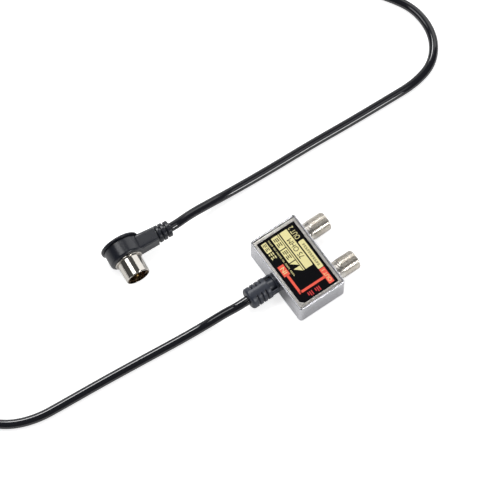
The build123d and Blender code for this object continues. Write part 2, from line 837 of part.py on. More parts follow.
# Plug: a moulded head and arm with three bend ribs, hollow behind the contact
plug_axis = Axis((0, plug_axis_y, plug_height), (1, 0, 0))
lead_axis = Axis((arm_end_x, 0, plug_height), (0, 1, 0))
with BuildPart() as plug_body:
    with BuildSketch(upright_along_x(0, plug_axis_y, plug_height)):
        with BuildLine():
            Polyline(
                (plug_face_x, 0),
                (lid_x, 0),
                (lid_x, drum_groove_radius),
                (drum_back_x, drum_groove_radius),
                (drum_back_x, drum_radius),
                (plug_face_x - drum_front_round, drum_radius),
            )
            RadiusArc(
                (plug_face_x - drum_front_round, drum_radius),
                (plug_face_x, drum_radius - drum_front_round),
                drum_front_round,
            )
            Line((plug_face_x, drum_radius - drum_front_round), (plug_face_x, 0))
        make_face()
    revolve(axis=plug_axis)
    with BuildSketch(upright_along_x(arm_root_x, plug_axis_y, plug_height)):
        RectangleRounded(arm_root_thickness, arm_height, arm_round)
    with BuildSketch(upright_along_x(arm_end_x + arm_end_offset, arm_end_y, plug_height)):
        RectangleRounded(arm_end_thickness, arm_height, arm_round)
    loft()
    with BuildSketch(Plane.YZ.offset(lid_x)):
        with Locations((plug_axis_y, plug_height)):
            Circle(lid_radius + fit_clearance)
    extrude(amount=-arm_root_thickness, mode=Mode.SUBTRACT)
    with BuildSketch(upright_along_y(arm_end_x, arm_end_y, plug_height)):
        with Locations(((rib_end_y - arm_end_y) / 2, rib_core_radius / 2)):
            Rectangle(rib_end_y - arm_end_y, rib_core_radius)
    revolve(axis=lead_axis)
    for start, length, radius in zip(rib_starts, rib_lengths, rib_radii):
        with BuildSketch(upright_along_y(arm_end_x, arm_end_y, plug_height)) as rib:
            with Locations((start + length / 2, radius / 2)):
                Rectangle(length, radius)
            fillet(rib.vertices().group_by(Axis.Y)[-1], rib_round)
        revolve(axis=lead_axis)
    with BuildSketch(Plane.YZ.offset(lid_x)):
        with Locations((plug_axis_y, plug_height)):
            Circle(drum_bore_radius)
    extrude(amount=drum_groove + drum_bore_depth, mode=Mode.SUBTRACT)
    with BuildSketch(Plane.YZ.offset(plug_face_x - sleeve_root)):
        with Locations((plug_axis_y, plug_height)):
            Circle(sleeve_radius)
    extrude(amount=sleeve_root, mode=Mode.SUBTRACT)
    with BuildSketch(Plane.YZ.offset(lid_x)):
        with Locations((plug_axis_y, plug_height)):
            Circle(pin_shoulder_radius)
    extrude(amount=plug_face_x - lid_x, mode=Mode.SUBTRACT)
    with BuildSketch(upright_along_x(arm_end_x, rib_end_y, plug_height)):
        Circle(cord_radius)
    extrude(amount=rib_end_y - plug_axis_y - drum_bore_radius + plug_jacket_end, mode=Mode.SUBTRACT)
save(plug_body, "plug_body", plug_pose)

with BuildPart() as plug_lid:
    with BuildSketch(Plane.YZ.offset(lid_x - lid_thickness)):
        with Locations((plug_axis_y, plug_height)):
            Circle(lid_radius)
    extrude(amount=lid_thickness)
    fillet(plug_lid.faces().sort_by(Axis.X)[0].edges(), lid_round)
    with BuildSketch(Plane.YZ.offset(lid_x)):
        with Locations((plug_axis_y, plug_height)):
            Circle(drum_bore_radius - fit_clearance)
    extrude(amount=lid_spigot)
save(plug_lid, "plug_lid", plug_pose)

with BuildPart() as plug_collar:
    with BuildSketch(Plane.YZ.offset(plug_face_x)):
        with Locations((plug_axis_y, plug_height)):
            Circle(collar_radius)
            Circle(sleeve_radius, mode=Mode.SUBTRACT)
    extrude(amount=collar_thickness)
    chamfer(plug_collar.faces().sort_by(Axis.X)[-1].edges().sort_by(SortBy.LENGTH)[-1], collar_chamfer)
save(plug_collar, "plug_collar", plug_pose)

# Sleeve: a turned tube that pushes over an outlet's thread, with a bevelled mouth
sleeve_base_x = plug_face_x - sleeve_root
sleeve_inner = sleeve_radius - sleeve_wall
spring_base_x = sleeve_base_x + plug_insulator_length
with BuildPart() as plug_sleeve:
    with BuildSketch(upright_along_x(0, plug_axis_y, plug_height)):
        with BuildLine():
            Polyline(
                (sleeve_base_x, sleeve_inner),
                (sleeve_base_x, sleeve_radius),
                (sleeve_mouth_x - sleeve_bevel, sleeve_radius),
                (sleeve_mouth_x, sleeve_radius - sleeve_bevel),
                (sleeve_mouth_x, sleeve_inner),
                close=True,
            )
        make_face()
    revolve(axis=plug_axis)
save(plug_sleeve, "plug_sleeve", plug_pose)

# Spring contact: bronze leaves that bow in to grip the thread
with BuildPart() as plug_spring_contact:
    leaf = (
        (spring_base_x, sleeve_inner),
        (spring_base_x + spring_root, sleeve_inner),
        (spring_base_x + spring_grip_at, spring_grip_radius + spring_thickness),
        (spring_base_x + spring_length, sleeve_inner - spring_mouth_gap),
    )
    with BuildSketch(upright_along_x(0, plug_axis_y, plug_height)):
        with BuildLine():
            Polyline(*leaf, *((x, r - spring_thickness) for x, r in reversed(leaf)), close=True)
        make_face()
    revolve(axis=plug_axis)
    with BuildSketch(Plane.YZ.offset(spring_base_x + spring_root)):
        with Locations((plug_axis_y, plug_height)):
            with PolarLocations(sleeve_inner, spring_slots):
                Rectangle(2 * (sleeve_inner - spring_grip_radius + cut_margin), spring_slot)
    extrude(amount=spring_length, mode=Mode.SUBTRACT)
save(plug_spring_contact, "plug_spring_contact", plug_pose)

with BuildPart() as plug_insulator:
    with BuildSketch(Plane.YZ.offset(sleeve_base_x)):
        with Locations((plug_axis_y, plug_height)):
            Circle(sleeve_inner)
            Circle(pin_radius, mode=Mode.SUBTRACT)
    extrude(amount=plug_insulator_length)
save(plug_insulator, "plug_insulator", plug_pose)

bore_front_x = drum_back_x + drum_bore_depth
with BuildPart() as plug_pin:
    with BuildSketch(upright_along_x(0, plug_axis_y, plug_height)):
        with BuildLine():
            tip_x = sleeve_mouth_x - pin_set_back
            Polyline(
                (bore_front_x - pin_tail, 0),
                (bore_front_x - pin_tail, pin_radius),
                (bore_front_x, pin_radius),
                (bore_front_x, pin_shoulder_radius),
                (sleeve_base_x, pin_shoulder_radius),
                (sleeve_base_x, pin_radius),
                (tip_x - pin_tip_chamfer, pin_radius),
                (tip_x, pin_radius - pin_tip_chamfer),
                (tip_x, 0),
                close=True,
            )
        make_face()
    revolve(axis=plug_axis)
save(plug_pin, "plug_pin", plug_pose)

# The lead's other end: its jacket fills the arm, and its conductor meets the pin
with BuildPart() as plug_lead_end:
    with BuildSketch(upright_along_y(arm_end_x, 0, plug_height)):
        with BuildLine():
            bore_side_y = plug_axis_y + drum_bore_radius
            pin_side_y = plug_axis_y + pin_radius
            Polyline(
                (rib_end_y, 0),
                (rib_end_y, cord_radius),
                (bore_side_y - plug_jacket_end, cord_radius),
                (bore_side_y - plug_jacket_end, dielectric_radius),
                (bore_side_y - plug_dielectric_end, dielectric_radius),
                (bore_side_y - plug_dielectric_end, conductor_radius),
                (pin_side_y, conductor_radius),
                (pin_side_y, 0),
                close=True,
            )
        make_face()
    revolve(axis=lead_axis)
save(plug_lead_end, "plug_lead_end", plug_pose)
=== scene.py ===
import math
import bmesh
import bpy
from mathutils import Matrix, Vector


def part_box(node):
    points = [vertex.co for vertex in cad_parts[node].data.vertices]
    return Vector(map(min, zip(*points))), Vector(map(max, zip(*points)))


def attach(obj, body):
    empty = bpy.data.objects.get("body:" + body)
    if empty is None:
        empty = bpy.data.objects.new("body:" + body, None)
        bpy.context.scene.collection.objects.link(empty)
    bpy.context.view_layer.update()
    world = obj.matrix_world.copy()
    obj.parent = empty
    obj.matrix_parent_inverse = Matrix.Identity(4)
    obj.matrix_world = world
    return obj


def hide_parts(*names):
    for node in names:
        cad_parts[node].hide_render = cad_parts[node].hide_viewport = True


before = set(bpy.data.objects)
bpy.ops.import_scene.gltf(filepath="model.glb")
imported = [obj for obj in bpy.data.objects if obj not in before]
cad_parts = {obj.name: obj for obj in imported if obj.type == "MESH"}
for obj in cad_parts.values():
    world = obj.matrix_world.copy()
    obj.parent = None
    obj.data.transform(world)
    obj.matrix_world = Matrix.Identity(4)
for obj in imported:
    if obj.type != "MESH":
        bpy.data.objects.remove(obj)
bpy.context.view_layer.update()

scene = bpy.context.scene

# Case. A zinc die casting, nickel plated and lightly tumbled, with a rebated rim. Its two outlet
# barrels are cast with it, and their fine threads are cut afterwards.


class Value:
    """A socket of a node. Sums written on it add the Math nodes that they need."""

    def __init__(self, wiring, socket):
        self.wiring = wiring
        self.socket = socket

    def math(self, operation, *values):
        return self.wiring.node("ShaderNodeMath", {"operation": operation}, dict(enumerate(values)))

    def __add__(self, other):
        return self.math("ADD", self, other)

    def __sub__(self, other):
        return self.math("SUBTRACT", self, other)

    def __rsub__(self, other):
        return self.math("SUBTRACT", other, self)

    def __mul__(self, other):
        return self.math("MULTIPLY", self, other)

    def __abs__(self):
        return self.math("ABSOLUTE", self)

    __radd__ = __add__
    __rmul__ = __mul__


class Wiring:
    """A tree of shader nodes in the making."""

    def __init__(self, tree):
        self.tree = tree

    def node(self, kind, settings=None, sockets=None, output=0):
        """Adds a node: its settings first, then the values or links of its sockets."""
        node = self.tree.nodes.new(kind)
        for name, value in (settings or {}).items():
            if name == "stops":
                ramp = node.color_ramp.elements
                for stop, (where, level) in zip((ramp[0], ramp[1]), value):
                    stop.position = where
                    stop.color = (level, level, level, 1)
            else:
                setattr(node, name, value)
        for name, value in (sockets or {}).items():
            if isinstance(value, Value):
                self.tree.links.new(value.socket, node.inputs[name])
            else:
                node.inputs[name].default_value = value
        return Value(self, node.outputs[output])


class Finish(Wiring):
    """A material in the making, with the fixed sockets of its shader set by name."""

    def __init__(self, name, **fixed):
        self.material = bpy.data.materials.new(name)
        self.material.use_nodes = True
        super().__init__(self.material.node_tree)
        self.shader = self.tree.nodes["Principled BSDF"]
        for socket, value in fixed.items():
            title = socket.replace("_", " ").title().replace("Ior", "IOR")
            self.shader.inputs[title].default_value = value
        self.place = self.node("ShaderNodeTexCoord", output="Object")

    def vector(self, operation, first, second=(0, 0, 0), output=0):
        settings = {"operation": operation}
        return self.node("ShaderNodeVectorMath", settings, {0: first, 1: second}, output)

    def noise(self, scale, detail=3.0, roughness=0.55):
        sockets = {"Vector": self.place, "Scale": scale, "Detail": detail, "Roughness": roughness}
        return self.node("ShaderNodeTexNoise", {}, sockets, "Fac")

    def between(self, value, low, high):
        """0 below low and 1 above high."""
        return self.node("ShaderNodeValToRGB", {"stops": ((low, 0.0), (high, 1.0))}, {"Fac": value})

    def mix(self, share, first, second):
        settings = {"data_type": "RGBA"}
        return self.node("ShaderNodeMix", settings, {0: share, 6: first, 7: second}, 2)

    def bump(self, height, distance, strength):
        sockets = {"Height": height, "Distance": distance, "Strength": strength}
        return self.node("ShaderNodeBump", {}, sockets)

    def wire(self, **links):
        """Links values to the shader's sockets by name, and hands over the material."""
        for socket, value in links.items():
            self.tree.links.new(value.socket, self.shader.inputs[socket.replace("_", " ").title()])
        return self.material


def shade(red, green, blue):
    """A colour as a screen gives it, 0 to 255, as the linear values that a shader takes."""
    linear = []
    for level in (red / 255, green / 255, blue / 255):
        linear.append(level / 12.92 if level < 0.04045 else ((level + 0.055) / 1.055) ** 2.4)
    return (*linear, 1)


def make_piece(bm, name, material, nodes=(), crease=32.0):
    """Turns a mesh in the making into a piece that rides on the splitter.

    Its shading follows its larger faces, which keeps the bands in the metal straight.
    """
    mesh = bpy.data.meshes.new(name)
    bmesh.ops.triangulate(bm, faces=[face for face in bm.faces if len(face.verts) > 4])
    bm.to_mesh(mesh)
    bm.free()
    mesh.shade_smooth()
    mesh.set_sharp_from_angle(angle=math.radians(crease))
    mesh.materials.append(material)
    piece = bpy.data.objects.new(name, mesh)
    scene.collection.objects.link(piece)
    flats = piece.modifiers.new("flats", "WEIGHTED_NORMAL")
    flats.keep_sharp = True
    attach(piece, "root")
    if nodes:
        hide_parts(*nodes)
    return piece


def join(bm, part):
    """Adds one mesh in the making to another."""
    mesh = bpy.data.meshes.new("part")
    part.to_mesh(mesh)
    part.free()
    bm.from_mesh(mesh)
    bpy.data.meshes.remove(mesh)


MM = 0.001
weld = 1e-6
touching = 1e-7
side_y = 12.35 * MM
port_height = 7.15 * MM
port_places = (-11.4 * MM, 11.4 * MM)
port_length = 11.8 * MM
port_bore = 3.1 * MM
neck_end = 2.3 * MM
neck_radius = 4.5 * MM
crest_radius = 4.75 * MM
pitch = 25.4 * MM / 32
thread_depth = 0.6134 * pitch
root_radius = crest_radius - thread_depth
flank = thread_depth * math.tan(math.radians(30))
crest_flat = pitch / 8
root_flat = pitch - crest_flat - 2 * flank
tip_chamfer = 0.55 * MM
run_out = 1.0 * MM
turned_from = side_y + 0.05 * MM
thread_steps = 40
case_crease = 28.0


def nickel_cast():
    finish = Finish("nickel_cast", metallic=1.0)
    broad = finish.noise(90.0, 2.0)
    fine = finish.noise(2600.0, 4.0, 0.6)
    pits = finish.between(finish.noise(900.0), 0.60, 0.72)
    colour = finish.mix(broad, shade(222, 222, 226), shade(209, 209, 214))
    colour = finish.mix(pits * 0.35, colour, shade(170, 167, 163))
    rough = 0.24 + 0.06 * fine + 0.08 * pits
    grain = finish.bump(fine * 0.3 + finish.noise(420.0), 0.00002, 0.2)
    return finish.wire(base_color=colour, roughness=rough, normal=grain)


def nickel_turned_painted_light():
    """The barrels' nickel, painted lighter and warmer than the case's, with painted shade in the
    threads' roots.
    """
    finish = Finish("nickel_turned_painted_light", metallic=1.0)
    mirrored = finish.vector("ABSOLUTE", finish.place)
    offset = finish.vector("SUBTRACT", mirrored, (port_places[1], 0, port_height))
    across = finish.vector("MULTIPLY", offset, (1, 0, 1))
    radius = finish.vector("LENGTH", across, output="Value")
    root_end = crest_radius - 0.75 * thread_depth
    crest_start = crest_radius - 0.15 * thread_depth
    # Painted shade: the crests keep the light colour and the roots of the threads are painted
    # darker.
    crest = finish.between(radius, root_end, crest_start)
    fine = finish.noise(2600.0, 4.0, 0.6)
    colour = finish.mix(crest, shade(228, 223, 215), shade(252, 249, 244))
    rough = 0.25 + 0.05 * fine - 0.04 * crest
    return finish.wire(base_color=colour, roughness=rough, normal=finish.bump(fine, 0.00001, 0.2))


def threaded_barrel(bm, place_x):
    """Winds one outlet's thread, cuts it to length, and closes it at its tip, bore and root."""
    centre = Vector((place_x, side_y, port_height))
    section = (
        (0, root_radius),
        (root_flat, root_radius),
        (root_flat + flank, crest_radius),
        (root_flat + flank + crest_flat, crest_radius),
        (pitch, root_radius),
    )
    start = neck_end - 1.5 * pitch
    turns = math.ceil((port_length - start) / pitch) + 1
    barrel = bmesh.new()
    points = [barrel.verts.new(centre + Vector((0, start + y, r))) for y, r in section]
    edges = [barrel.edges.new(pair) for pair in zip(points, points[1:])]
    bmesh.ops.spin(
        barrel,
        geom=points + edges,
        cent=centre,
        axis=(0, 1, 0),
        dvec=(0, pitch / thread_steps, 0),
        angle=2 * math.pi * turns,
        steps=thread_steps * turns,
    )
    bmesh.ops.remove_doubles(barrel, verts=barrel.verts, dist=2 * weld)
    for height, facing in ((side_y + port_length, 1), (side_y + neck_end, -1)):
        bmesh.ops.bisect_plane(
            barrel,
            geom=barrel.verts[:] + barrel.edges[:] + barrel.faces[:],
            plane_co=(0, height, 0),
            plane_no=(0, facing, 0),
            clear_outer=True,
            dist=touching,
        )
    for vert in barrel.verts:
        along = vert.co.y - side_y
        out = Vector((vert.co.x - centre.x, 0, vert.co.z - centre.z))
        radius = out.length
        fade = max(0.0, 1 - (along - neck_end) / run_out)
        radius += (neck_radius - radius) * fade * fade * (3 - 2 * fade)
        radius = min(radius, crest_radius - tip_chamfer + (port_length - along))
        vert.co = Vector((centre.x, vert.co.y, centre.z)) + out.normalized() * radius
    halfway = side_y + port_length / 2
    tip = [edge for edge in barrel.edges if edge.is_boundary and edge.verts[0].co.y > halfway]
    for along in (port_length, neck_end):
        made = bmesh.ops.extrude_edge_only(barrel, edges=tip)["geom"]
        tip = [item for item in made if isinstance(item, bmesh.types.BMEdge)]
        for vert in (item for item in made if isinstance(item, bmesh.types.BMVert)):
            out = Vector((vert.co.x - centre.x, 0, vert.co.z - centre.z)).normalized()
            vert.co = Vector((centre.x, side_y + along, centre.z)) + out * port_bore
    loops = [edge for edge in barrel.edges if edge.is_boundary]
    bmesh.ops.bridge_loops(barrel, edges=loops)
    bmesh.ops.recalc_face_normals(barrel, faces=barrel.faces)
    join(bm, barrel)


def build_case():
    """The casting's own solid, with its plain barrels cut off and threaded ones in their place."""
    bm = bmesh.new()
    bm.from_mesh(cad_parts["case"].data)
    bmesh.ops.remove_doubles(bm, verts=bm.verts, dist=weld)
    bmesh.ops.bisect_plane(
        bm,
        geom=bm.verts[:] + bm.edges[:] + bm.faces[:],
        plane_co=(0, side_y + neck_end, 0),
        plane_no=(0, 1, 0),
        clear_outer=True,
        dist=touching,
    )
    for place_x in port_places:
        cut = [edge for edge in bm.edges if edge.is_boundary and edge.verts[0].co.x * place_x > 0]
        bmesh.ops.bridge_loops(bm, edges=cut)
    for place_x in port_places:
        threaded_barrel(bm, place_x)
    for face in bm.faces:
        face.material_index = int(face.calc_center_median().y > turned_from)
    shell = make_piece(bm, "case_shell", nickel_cast(), ["case"], case_crease)
    # The barrels take the case's nickel painted lighter and warmer, with painted shade in the
    # threads' roots.
    shell.data.materials.append(nickel_turned_painted_light())


build_case()

# Cover plate. Pressed steel, nickel plated, set into the case's rim and held by solder at its
# ends, where it is mottled. A raised bead frames the label.
plate_low = Vector(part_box("cover_plate")[0])
plate_high = Vector(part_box("cover_plate")[1])
plate_corner = 0.6 * MM
plate_edge = 0.32 * MM
bead_height = 0.26 * MM
bead_width = 0.55 * MM
bead_edge = 0.1 * MM
bead_root = 0.05 * MM
plate_top = plate_high.z - bead_height
label_low = Vector(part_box("label")[0])
label_high = Vector(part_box("label")[1])
label_cut = 1.85 * MM
solder_from = 15.0 * MM
solder_to = 17.0 * MM


def soften(bm, width, segments, over, among=None):
    """Rounds the edges that turn by more than an angle."""
    edges = []
    for edge in bm.edges if among is None else among:
        if edge.is_manifold and edge.calc_face_angle(0) > math.radians(over):
            edges.append(edge)
    bmesh.ops.bevel(
        bm,
        geom=edges,
        offset=width,
        segments=segments,
        affect="EDGES",
        profile=0.5,
        material=-1,
        clamp_overlap=True,
    )


def flat_block(bm, low, high, corner, z_low, z_high, cut=0.0, segments=5):
    """A block with rounded upright edges, and its +X -Y corner cut off where cut is given."""
    outline = [(low.x, low.y), (high.x, low.y), (high.x, high.y), (low.x, high.y)]
    if cut:
        outline[1:2] = [(high.x - cut, low.y), (high.x, low.y + cut)]
    verts = [bm.verts.new((x, y, z_low)) for x, y in outline]
    made = bmesh.ops.extrude_face_region(bm, geom=[bm.faces.new(verts)])["geom"]
    top = [item for item in made if isinstance(item, bmesh.types.BMVert)]
    bmesh.ops.translate(bm, verts=top, vec=(0, 0, z_high - z_low))
    if corner:
        block = set(verts + top)
        upright = []
        for edge in bm.edges:
            first, second = edge.verts
            if first in block and abs(first.co.z - second.co.z) > (z_high - z_low) / 2:
                upright.append(edge)
        bmesh.ops.bevel(
            bm,
            geom=upright,
            offset=corner,
            segments=segments,
            affect="EDGES",
            profile=0.5,
            material=-1,
        )


def nickel_pressed():
    finish = Finish("nickel_pressed", metallic=1.0)
    lumps = finish.noise(950.0, 2.0, 0.5)
    fine = finish.noise(3200.0)
    sideways = finish.node("ShaderNodeSeparateXYZ", {}, {0: finish.place}, "X")
    soldered = finish.between(abs(sideways), solder_from, solder_to)
    dull = finish.between(lumps, 0.42, 0.58) * (0.25 + 0.75 * soldered)
    colour = finish.mix(dull, shade(236, 233, 228), shade(196, 191, 183))
    rough = 0.25 + 0.08 * fine + 0.10 * dull
    grain = finish.bump(lumps * (0.2 + 0.8 * soldered) + 0.1 * fine, 0.00022, 0.9)
    return finish.wire(base_color=colour, roughness=rough, normal=grain)


def build_cover_plate():
    bm = bmesh.new()
    flat_block(bm, plate_low, plate_high, plate_corner, plate_low.z, plate_top)
    soften(bm, plate_edge, 3, 60)
    grow = Vector((bead_width, bead_width, 0))
    bead = bmesh.new()
    bead_low = plate_top - bead_root
    flat_block(bead, label_low - grow, label_high + grow, 0, bead_low, plate_high.z, label_cut)
    lid = max(bead.faces, key=lambda face: face.calc_center_median().z)
    floor = min(bead.faces, key=lambda face: face.calc_center_median().z)
    for face in (lid, floor):
        bmesh.ops.inset_region(bead, faces=[face], thickness=bead_width, use_even_offset=True)
    inner = list(lid.edges) + list(floor.edges)
    bmesh.ops.delete(bead, geom=[lid, floor], context="FACES_ONLY")
    bmesh.ops.bridge_loops(bead, edges=inner)
    bmesh.ops.recalc_face_normals(bead, faces=bead.faces)
    soften(bead, bead_edge, 3, 60)
    join(bm, bead)
    bmesh.ops.recalc_face_normals(bm, faces=bm.faces)
    make_piece(bm, "cover_plate_pressed", nickel_pressed(), ["cover_plate"])


build_cover_plate()

# Label. A black film stuck inside the bead and printed in pale gold and red, each ink a little
# proud of it. Plain words say which way each outlet goes, its number and the impedance.
print_sheet = (38.2, 21.6)
ink_coat = 0.04 * MM
letter_coat = 0.02 * MM
mark_share = 0.78
mark_shorter = 0.22
wedge_low = 7.3
wedge_high = 10.8

# Places on the sheet in millimetres: left, low, right and high, then a corner or a count of marks
gold_panels = (
    (10.3, 17.1, 27.7, 20.2, 0.5),
    (1.5, 12.3, 24.0, 16.4),
    (1.5, 11.15, 24.0, 11.7, 0.05),
    (1.5, 7.3, 9.0, 10.8),
    (9.5, 7.3, 17.0, 10.8),
    (1.4, 1.5, 7.0, 4.3, 0.2),
)
gold_wedges = ((17.5, 20.4), (20.9, 24.0))
gold_marks = (
    (7.6, 1.7, 11.6, 4.3, 2),
    (1.6, 5.45, 5.4, 6.15, 4),
    (5.9, 5.45, 8.1, 6.15, 5),
    (8.6, 5.45, 13.0, 6.15, 6),
    (13.5, 5.45, 15.2, 6.15, 4),
    (16.0, 5.45, 19.8, 6.15, 5),
    (20.4, 5.45, 24.0, 6.15, 6),
)
red_bars = (
    (15.6, 1.4, 21.8, 4.7, 0.05),
    (28.0, 17.2, 37.0, 20.1, 0.05),
    (21.7, 2.45, 33.25, 3.75, 0.05),
    (31.95, 3.1, 33.25, 17.3, 0.05),
)
dark_red_marks = ((34.5, 5.7, 37.7, 8.3, 1), (34.6, 9.8, 37.8, 12.4, 1))
black_marks = (
    (2.0, 2.0, 6.6, 3.8, 2),
    (2.6, 7.9, 8.2, 10.2, 2),
    (10.4, 7.9, 16.0, 10.2, 2),
    (12.4, 18.1, 26.4, 19.2, 11),
)


def on_label(x, y):
    """Turns a place on the print's sheet, in millimetres, into one on the label."""
    return Vector((
        label_low.x + x / print_sheet[0] * (label_high.x - label_low.x),
        label_low.y + y / print_sheet[1] * (label_high.y - label_low.y),
        0,
    ))


def ink_block(bm, left, low, right, high, corner=0.15, coats=1):
    base = label_high.z + (coats - 1) * ink_coat
    near, far = on_label(left, low), on_label(right, high)
    flat_block(bm, near, far, corner * MM, base, base + ink_coat, 0, 3)


def ink_wedge(bm, left, right):
    """Half a panel, cut from corner to corner."""
    places = ((left, wedge_low), (right, wedge_high), (left, wedge_high))
    verts = [bm.verts.new((*on_label(*place).xy, label_high.z)) for place in places]
    made = bmesh.ops.extrude_face_region(bm, geom=[bm.faces.new(verts)])["geom"]
    top = [item for item in made if isinstance(item, bmesh.types.BMVert)]
    bmesh.ops.translate(bm, verts=top, vec=(0, 0, ink_coat))


def barred_marks(bm, left, low, right, high, count, coats=1):
    """A row of plain marks of three bars each, with some bars shorter than others."""
    step = (right - left) / count
    bar = (high - low) / 5
    for cell in range(count):
        start = left + cell * step
        for row in (0, 2, 4):
            short = mark_shorter * step if (cell + row) % 3 == 0 else 0
            end = start + mark_share * step - short
            ink_block(bm, start, low + row * bar, end, low + (row + 1) * bar, 0, coats)


def print_ink(name, material, nodes=(), panels=(), wedges=(), marks=(), coats=1):
    bm = bmesh.new()
    for panel in panels:
        ink_block(bm, *panel)
    for wedge in wedges:
        ink_wedge(bm, *wedge)
    for row in marks:
        barred_marks(bm, *row, coats)
    bmesh.ops.recalc_face_normals(bm, faces=bm.faces)
    make_piece(bm, name, material, nodes)


def lettering(words, left, low, right, high, name):
    """Fits plain words into a box on the sheet. They are read from the outlets' side."""
    text = bpy.data.curves.new(name, "FONT")
    text.body = words
    text.resolution_u = 4
    flat = bpy.data.objects.new(name, text)
    scene.collection.objects.link(flat)
    mesh = bpy.data.meshes.new_from_object(flat.evaluated_get(bpy.context.evaluated_depsgraph_get()))
    bpy.data.objects.remove(flat)
    bpy.data.curves.remove(text)
    bm = bmesh.new()
    bm.from_mesh(mesh)
    bpy.data.meshes.remove(mesh)
    xs = [vert.co.x for vert in bm.verts]
    ys = [vert.co.y for vert in bm.verts]
    near, far = on_label(left, low), on_label(right, high)
    for vert in bm.verts:
        vert.co = Vector((
            far.x - (vert.co.x - min(xs)) / (max(xs) - min(xs)) * (far.x - near.x),
            far.y - (vert.co.y - min(ys)) / (max(ys) - min(ys)) * (far.y - near.y),
            label_high.z + ink_coat,
        ))
    made = bmesh.ops.extrude_face_region(bm, geom=bm.faces[:])["geom"]
    top = [item for item in made if isinstance(item, bmesh.types.BMVert)]
    bmesh.ops.translate(bm, verts=top, vec=(0, 0, letter_coat))
    bmesh.ops.recalc_face_normals(bm, faces=bm.faces)
    return bm


def film(name, colour, speck, roughness, specular=0.5):
    finish = Finish(name, specular_ior_level=specular)
    wear = finish.between(finish.noise(700.0, 4.0), 0.55, 0.75)
    fine = finish.noise(3000.0)
    tint = finish.mix(wear * 0.5, colour, speck)
    grain = finish.bump(fine, 0.00001, 0.3)
    return finish.wire(base_color=tint, roughness=roughness + 0.08 * fine, normal=grain)


black_film = film("label_black", shade(9, 9, 13), shade(15, 15, 18), 0.22, 0.15)
gold_film = film("ink_gold", shade(228, 219, 156), shade(218, 207, 142), 0.38)
red_film = film("ink_red", shade(238, 84, 62), shade(226, 70, 52), 0.38)
dark_red_film = film("ink_dark_red", shade(206, 44, 44), shade(188, 38, 38), 0.42)
printed_words = (
    ("IN", (17.0, 1.95, 20.4, 4.15), gold_film, "gold_ink", "mark_in"),
    ("OUT 1", (29.2, 17.75, 35.9, 19.55), gold_film, "gold_ink", "mark_out_1"),
    ("OUT 2", (1.6, 17.0, 8.9, 19.7), gold_film, "gold_ink", "mark_out_2"),
    ("75 OHM", (6.6, 13.0, 18.2, 15.7), black_film, "label_film", "mark_impedance"),
)


def build_label():
    bm = bmesh.new()
    flat_block(bm, label_low, label_high, 0, label_low.z, label_high.z, label_cut)
    bmesh.ops.recalc_face_normals(bm, faces=bm.faces)
    make_piece(bm, "label_film", black_film, ["label"])
    print_ink("ink_gold", gold_film, ["gold_print"], gold_panels, gold_wedges, gold_marks)
    print_ink("ink_red", red_film, ["red_print"], red_bars)
    print_ink("ink_dark_red", dark_red_film, marks=dark_red_marks)
    print_ink("ink_black", black_film, marks=black_marks, coats=2)
    for words, box, material, slot, name in printed_words:
        make_piece(lettering(words, *box, name), name, material)


build_label()

# Outlets' insulators and contacts. White mouldings pressed into each bore, with a lead-in
# that guides a plug's centre wire to the sprung brass socket behind it.
insulator_back = -1.8 * MM
insulator_shoulder = -1.0 * MM
insulator_tail_radius = 1.95 * MM
insulator_front = port_length - 0.6 * MM
insulator_edge = 0.12 * MM
wire_hole = 0.75 * MM
wire_lead_in = 0.55 * MM
wire_hole_depth = 1.3 * MM
socket_recess = wire_hole + 0.5 * MM


def turn(bm, profile, centre, axis, steps):
    """Spins a closed profile of (along, radius) points about an axis through centre."""
    axis = Vector(axis)
    up = Vector((0, 0, 1))
    points = [bm.verts.new(Vector(centre) + axis * along + up * radius) for along, radius in profile]
    edges = [bm.edges.new(pair) for pair in zip(points, points[1:] + points[:1])]
    bmesh.ops.spin(
        bm,
        geom=points + edges,
        cent=centre,
        axis=axis,
        angle=2 * math.pi,
        steps=steps,
        use_merge=True,
        use_duplicate=False,
    )
    bmesh.ops.remove_doubles(bm, verts=bm.verts, dist=touching)


def smooth_plastic(name, colour, speck, roughness, grain_scale=1500.0, grain=0.25, specular=0.5):
    finish = Finish(name, specular_ior_level=specular)
    cloud = finish.noise(60.0)
    fine = finish.noise(grain_scale, 4.0, 0.6)
    tint = finish.mix(cloud, colour, speck)
    texture = finish.bump(fine, 0.00004, grain)
    return finish.wire(base_color=tint, roughness=roughness + 0.1 * fine, normal=texture)


def spun_metal(name, colour, dull, roughness):
    finish = Finish(name, metallic=1.0)
    cloud = finish.noise(220.0)
    fine = finish.noise(2800.0, 4.0)
    tint = finish.mix(finish.between(cloud, 0.35, 0.75), colour, dull)
    texture = finish.bump(fine, 0.00001, 0.25)
    return finish.wire(base_color=tint, roughness=roughness + 0.08 * fine, normal=texture)


white_plastic = smooth_plastic("insulator_white", shade(232, 231, 224), shade(222, 220, 210), 0.32)
contact_brass = spun_metal("contact_brass", shade(222, 190, 122), shade(196, 160, 92), 0.18)


def build_insulator(number, place_x):
    bm = bmesh.new()
    profile = (
        (insulator_back, socket_recess),
        (insulator_back, insulator_tail_radius),
        (insulator_shoulder, insulator_tail_radius),
        (insulator_shoulder, port_bore),
        (insulator_front, port_bore),
        (insulator_front, wire_hole + wire_lead_in),
        (insulator_front - wire_lead_in, wire_hole),
        (insulator_front - wire_hole_depth, wire_hole),
        (insulator_front - wire_hole_depth, socket_recess),
    )
    turn(bm, profile, (place_x, side_y, port_height), (0, 1, 0), 64)
    bmesh.ops.recalc_face_normals(bm, faces=bm.faces)
    soften(bm, insulator_edge, 2, 40)
    node = f"port_insulator_{number}"
    make_piece(bm, f"{node}_moulded", white_plastic, [node])
    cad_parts[f"port_contact_{number}"].data.materials[0] = contact_brass


for number, place_x in enumerate(port_places, 1):
    build_insulator(number, place_x)

# The circuit inside. It is closed in, so its parts keep the frame's solids, each with the
# finish of the real one: a solder-masked board, sintered ferrite, enamelled wire and lacquer.


def inner_finish(nodes, material):
    for node in nodes:
        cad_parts[node].data.materials[0] = material


